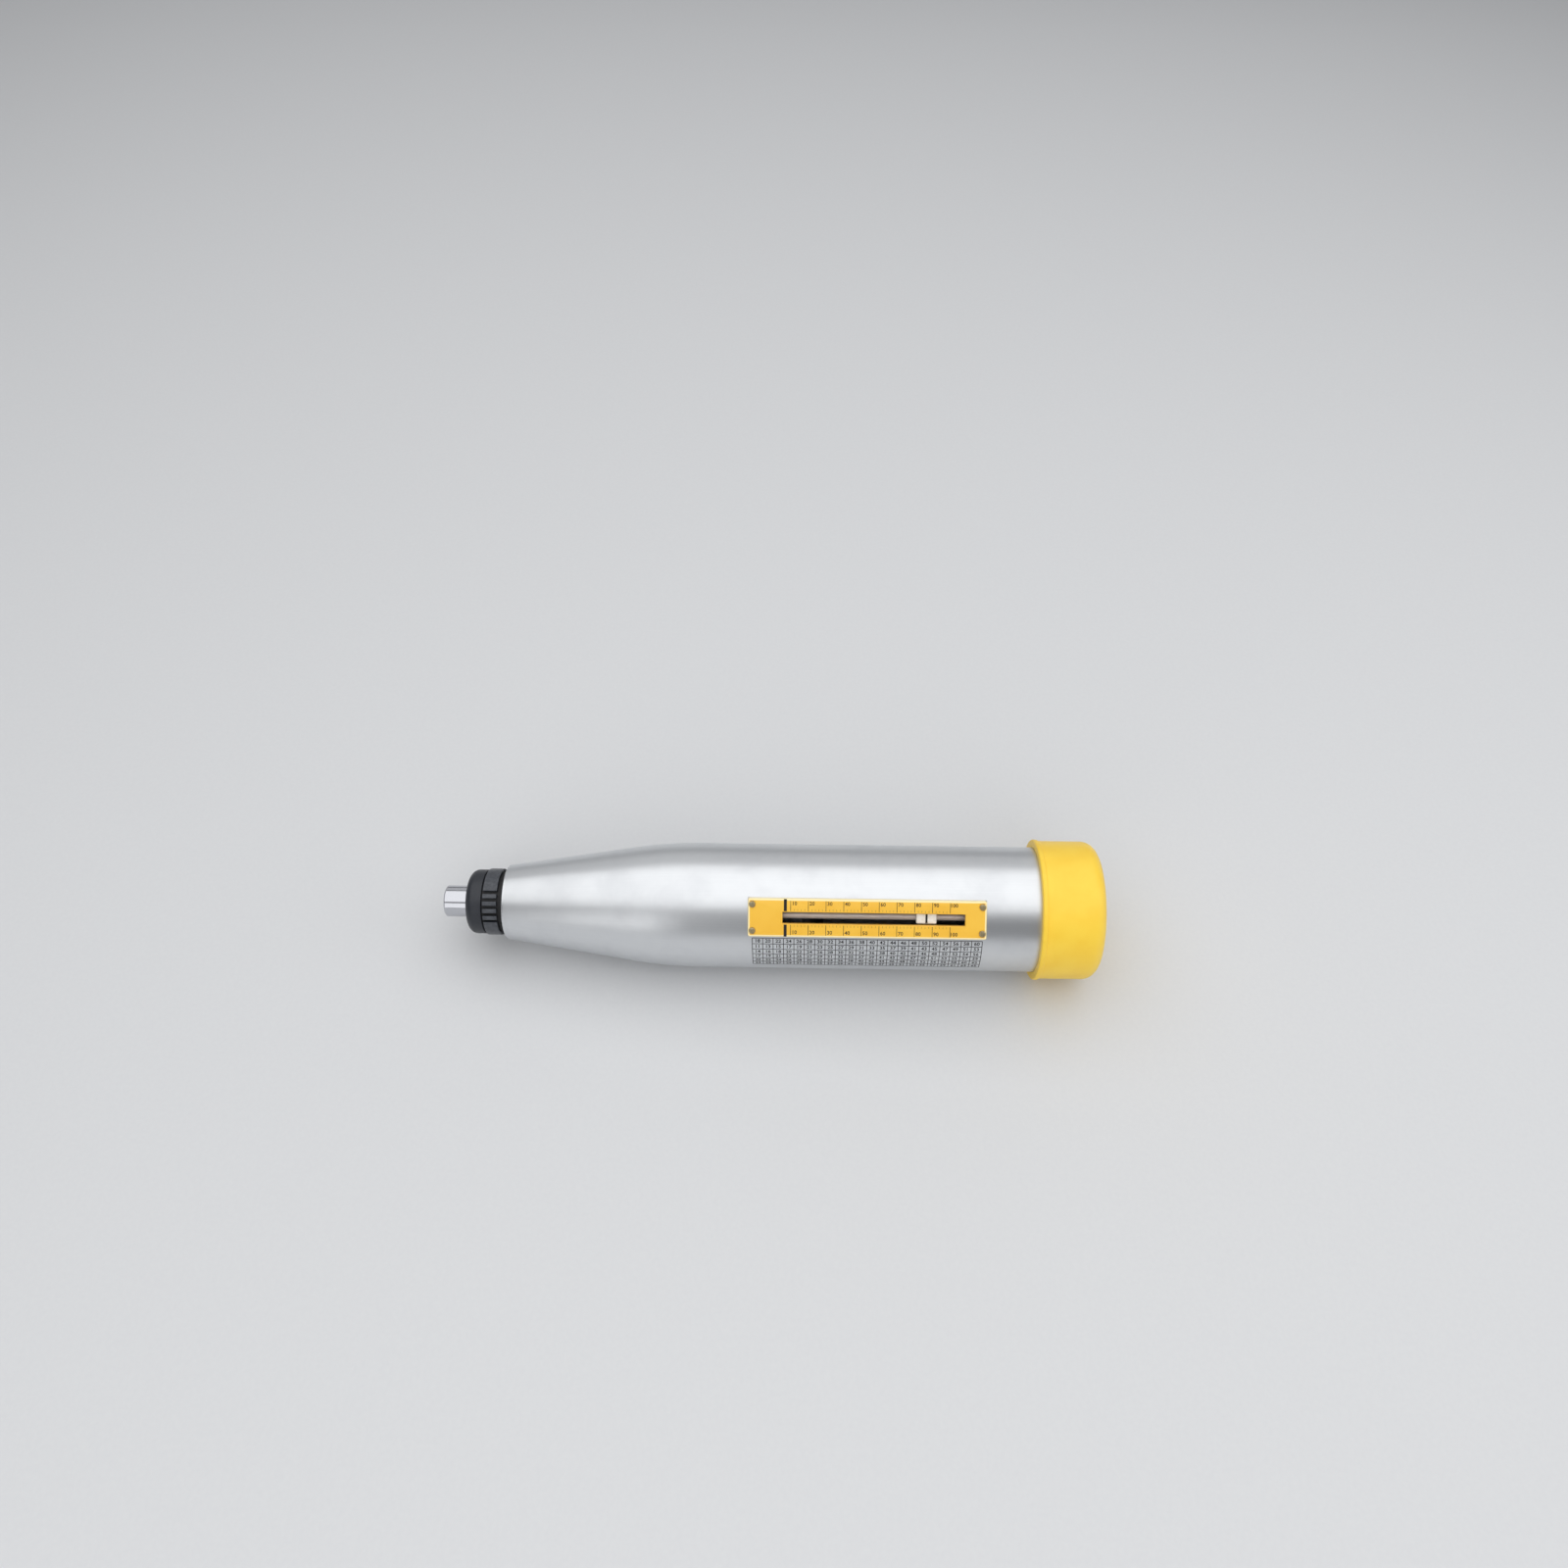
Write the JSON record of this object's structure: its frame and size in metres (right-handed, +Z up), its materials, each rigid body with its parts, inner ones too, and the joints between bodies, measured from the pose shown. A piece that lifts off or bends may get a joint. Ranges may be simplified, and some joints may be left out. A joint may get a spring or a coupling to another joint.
{
  "type": "concrete test hammer",
  "caption": "Hand-held rebound hammer for concrete: sprung striker in an aluminium tube, plunger at the nose, scale with a drag rider, yellow tail cap.",
  "frame": {"origin": "on the hammer's axis at the middle of the hand's grip, 150 mm behind the nose cap's front face", "axes": "+X along the axis from the plunger to the tail cap; the scale faces halfway between -Y and +Z; +Z up"},
  "size_m": [0.29, 0.062, 0.062],
  "materials": {
    "tube_aluminium": "satin anodised, fine lengthwise brushing",
    "nose_plastic": "moulded, satin",
    "felt": "pressed wool felt",
    "machined_steel": "turned and ground",
    "spring_steel": "drawn wire, oiled",
    "plunger_steel": "hardened and polished",
    "tail_plastic": "moulded, semi-gloss",
    "screw_steel": "plated",
    "button_metal": "turned",
    "button_plastic": "moulded",
    "scale_enamel": "printed enamel on sheet aluminium",
    "rider_plastic": "moulded",
    "rod_steel": "ground rod, dark",
    "block_brass": "machined"
  },
  "bodies": {
    "tube": {"housing": "tube_aluminium", "nose_cap": "nose_plastic", "felt_washer": "felt", "split_ring": "machined_steel", "guide_sleeve": "machined_steel", "impact_spring": "spring_steel", "return_spring": "spring_steel", "tail_cap": "tail_plastic", "trip_screw": "screw_steel", "lock_nut": "screw_steel", "button_bush": "button_metal", "button_spring": "spring_steel", "scale_plate": "scale_enamel", "plate_screws": "screw_steel", "rider_rod": "rod_steel", "rod_block_front": "block_brass", "rod_block_rear": "block_brass"},
    "carriage": {"plunger": "plunger_steel", "buffer_spring": "spring_steel", "guide_bar": "machined_steel", "guide_disc": "machined_steel", "bar_nut": "machined_steel", "pawl_pin": "machined_steel", "pawl_spring": "spring_steel"},
    "striker_mass": {"striker": "machined_steel"},
    "pawl_lever": {"pawl": "machined_steel"},
    "reading_rider": {"rider": "rider_plastic", "rider_leaf": "spring_steel"},
    "lock_button": {"push_button": "button_plastic"}
  },
  "joints": [
    {"name": "plunger_slide", "type": "slide", "parent": "tube", "child": "carriage", "axis": [-1, 0, 0], "range_m": [0, 0.075], "deforming": ["return_spring"]},
    {"name": "striker_slide", "type": "slide", "parent": "tube", "child": "striker_mass", "axis": [-1, 0, 0], "range_m": [-0.075, 0], "stiffness_N_per_m": 785, "deforming": ["impact_spring"]},
    {"name": "pawl_swing", "type": "hinge", "parent": "carriage", "child": "pawl_lever", "pos_m": [0.088, 0.01025, 0.01025], "axis": [0, 0.7071, -0.7071], "range_deg": [0, 13], "stiffness_Nm_per_rad": 0.05, "springref_deg": -5.73, "deforming": ["pawl_spring"]},
    {"name": "rider_slide", "type": "slide", "parent": "tube", "child": "reading_rider", "axis": [1, 0, 0], "range_m": [-0.06, 0.015]},
    {"name": "button_press", "type": "slide", "parent": "tube", "child": "lock_button", "axis": [0, -0.7071, 0.7071], "range_m": [0, 0.0025], "stiffness_N_per_m": 600, "springref_m": -0.002, "deforming": ["button_spring"]}
  ]
}
